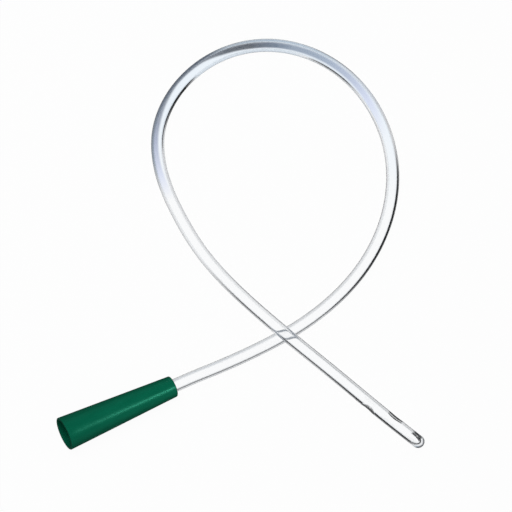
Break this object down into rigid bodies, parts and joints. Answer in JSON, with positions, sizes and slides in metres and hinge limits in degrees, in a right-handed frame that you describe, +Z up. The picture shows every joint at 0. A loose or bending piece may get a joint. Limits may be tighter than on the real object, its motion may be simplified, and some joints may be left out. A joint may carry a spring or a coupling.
{
  "type": "intermittent catheter",
  "caption": "Clear flexible catheter tube with a closed round tip and staggered side eyes, bonded into a green cone-shaped drainage funnel, lying flat in one loose loop.",
  "frame": {"origin": "on the surface that it lies on, under the middle of the whole object's box", "axes": "+Z up from the surface; the funnel lies along X with its mouth towards -X, and the loop of the tube lies towards +Y"},
  "size_m": [0.1553, 0.1599, 0.0122],
  "materials": {
    "clear_tube": "clear, faintly blue soft PVC, smooth and glossy",
    "green_funnel": "deep green moulded soft PVC, satin gloss"
  },
  "bodies": {
    "root": {"catheter_tube": "clear_tube", "drainage_funnel": "green_funnel"}
  },
  "joints": []
}
